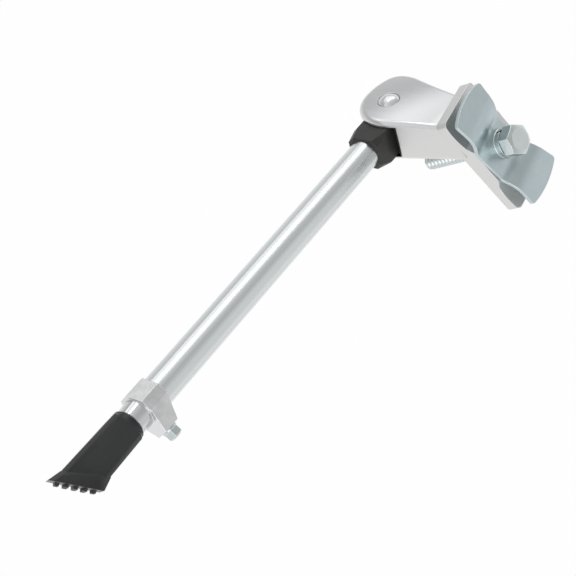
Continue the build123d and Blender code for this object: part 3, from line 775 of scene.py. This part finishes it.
for side in shape.faces:
    side.material_index = 0
bolt_mesh.materials.clear()
shape.to_mesh(bolt_mesh)
shape.free()
bolt_mesh.materials.append(bright_zinc)
bolt_mesh.name = "threaded_bolt"
bolt_mesh.shade_smooth()
bolt_mesh.set_sharp_from_angle(angle=radians(25))
threaded_bolt = bpy.data.objects.new("threaded_bolt", bolt_mesh)
bpy.context.scene.collection.objects.link(threaded_bolt)
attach(threaded_bolt, "bolt")
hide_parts("clamp_bolt")

# Studio: a pale floor below the reach of the swung leg, a white room, one wide soft lamp low
# behind the part that draws the streak along the tube, and a large weaker one from the viewer's
# side. The walls shade off for polished metal as in a light tent; what metal sees of the floor
# is painted, with a painted shadow band on one side of the part and lighter floor beyond.
floor_size = 16.0
floor_gap = 0.003
floor_white = 0.97
floor_mirrored = 0.8
room_light = 0.75
middle = (cad_box[0] + cad_box[1]) / 2
bpy.context.scene.view_settings.view_transform = "Standard"

travel = joint["foot_slide"]["range_m"][1] + joint["leg_snap"]["range_m"][1]
leg_reach = travel + max((corner.co - pivot).length for corner in frame["nodes"]["foot"].data.vertices)
floor_level = pivot.z - leg_reach - floor_gap
half = floor_size / 2
floor_corners = [(-half, -half), (half, -half), (half, half), (-half, half)]
floor_mesh = bpy.data.meshes.new("floor")
floor_mesh.from_pydata([(x, y, floor_level) for x, y in floor_corners], [], [(0, 1, 2, 3)])
floor = bpy.data.objects.new("floor", floor_mesh)
bpy.context.scene.collection.objects.link(floor)
pale = bpy.data.materials.new("pale_floor")
pale.use_nodes = True
tree = pale.node_tree
matt = tree.nodes["Principled BSDF"]
matt.inputs["Base Color"].default_value = (0.86, 0.86, 0.86, 1)
matt.inputs["Roughness"].default_value = 0.9
matt.inputs["Specular IOR Level"].default_value = 0.1
rays = put(tree, "ShaderNodeLightPath").outputs
floor_place = put(tree, "ShaderNodeTexCoord").outputs["Object"]
spread = put(tree, "ShaderNodeSeparateXYZ", {0: floor_place}).outputs
# What metal sees of the floor is painted shade: a painted shadow band on the +Y side of the part, standing
# for its shade on the floor, and lighter floor beyond it and on the -Y side.
near_side = ranged(tree, spread["Y"], 0.75, 1.15, -3.0, -0.5)
shaded = combined(tree, "MINIMUM", near_side, ranged(tree, spread["Y"], 1.15, 0.5, 0.0, 0.8))
far_side = ranged(tree, spread["Y"], 0, 1.25, 0.95, 1.8)
front = ranged(tree, spread["X"], 0.0, 1.0, -0.3, 1.0)
far_front = ranged(tree, spread["X"], 1.0, 0.55, 2.0, 5.0)
beyond = combined(tree, "MULTIPLY", far_side, front)
painted_floor_shade = combined(tree, "ADD", shaded, combined(tree, "MULTIPLY", beyond, far_front))
strength = put(tree, "ShaderNodeMix", {0: rays["Is Glossy Ray"], 2: 1.0, 3: painted_floor_shade}).outputs[0]
glow = put(tree, "ShaderNodeEmission", {"Color": (1, 1, 1, 1), "Strength": strength})
by_camera = combined(tree, "MULTIPLY", rays["Is Camera Ray"], floor_white)
by_metal = combined(tree, "MULTIPLY", rays["Is Glossy Ray"], floor_mirrored)
seen = combined(tree, "MAXIMUM", by_camera, by_metal)
white = put(tree, "ShaderNodeMixShader", {0: seen, 1: matt.outputs[0], 2: glow.outputs[0]})
tree.links.new(white.outputs[0], tree.nodes["Material Output"].inputs["Surface"])
floor_mesh.materials.append(pale)

room = bpy.data.worlds.new("room")
room.use_nodes = True
bpy.context.scene.world = room
tree = room.node_tree
sight = put(tree, "ShaderNodeTexCoord").outputs["Generated"]
sky = put(tree, "ShaderNodeSeparateXYZ", {0: sight}).outputs


def nearness(direction):
    """How nearly a ray that meets the room runs in this direction, up to 1."""
    values = {0: sight, 1: direction}
    return put(tree, "ShaderNodeVectorMath", values, operation="DOT_PRODUCT").outputs["Value"]


overhead = ranged(tree, sky["Z"], 1.0, 0.58, 0.15, 1.0)
left_wall = ranged(tree, sky["Y"], 1.0, 0.95, -1, 0)
window = ranged(tree, nearness((0.465, -0.411, 0.784)), 1.0, 1.2, 0.93, 0.99)
shade = ranged(tree, nearness((0.683, 0.183, 0.707)), 1.0, 0.85, 0.91, 0.985)
wall = combined(tree, "MULTIPLY", overhead, left_wall)
walls = combined(tree, "MULTIPLY", wall, combined(tree, "MULTIPLY", window, shade))
rays = put(tree, "ShaderNodeLightPath").outputs
lit = put(tree, "ShaderNodeMix", {0: rays["Is Glossy Ray"], 2: room_light, 3: walls}).outputs[0]
strength = put(tree, "ShaderNodeMix", {0: rays["Is Camera Ray"], 2: lit, 3: 1.0}).outputs[0]
tree.links.new(strength, tree.nodes["Background"].inputs["Strength"])
tree.nodes["Background"].inputs["Color"].default_value = (1, 1, 1, 1)


def soft_lamp(name, azimuth, elevation, distance, width, depth, radiance):
    """A flat soft lamp that faces the middle of the part, seen from it in this direction."""
    lamp = bpy.data.lights.new(name, "AREA")
    lamp.shape = "RECTANGLE"
    lamp.size, lamp.size_y = width, depth
    lamp.energy = radiance * pi * width * depth
    level = cos(radians(elevation))
    away = Vector((cos(radians(azimuth)) * level, sin(radians(azimuth)) * level, sin(radians(elevation))))
    stand = bpy.data.objects.new(name, lamp)
    stand.location = middle + away * distance
    stand.rotation_euler = away.to_track_quat("Z", "Y").to_euler()
    bpy.context.scene.collection.objects.link(stand)


soft_lamp("back_lamp", azimuth=50, elevation=16, distance=1.3, width=1.3, depth=0.32, radiance=1.8)
soft_lamp("front_lamp", azimuth=180, elevation=45, distance=1.4, width=1.0, depth=1.0, radiance=1.1)

lens_length = 104.63
sensor_width = 36.0
camera_right = Vector((0.4586, -0.6455, 0.6107))
camera_up = Vector((0.757, 0.6437, 0.1119))
camera_place = (-0.57130, 0.42469, 0.68032)
camera_back = camera_right.cross(camera_up).normalized()
stance = Matrix((camera_right, camera_back.cross(camera_right), camera_back)).transposed().to_4x4()
stance.translation = camera_place
camera = bpy.data.objects.new("camera", bpy.data.cameras.new("camera"))
camera.data.lens = lens_length
camera.data.sensor_width = sensor_width
camera.matrix_world = stance
bpy.context.scene.collection.objects.link(camera)
bpy.context.scene.camera = camera
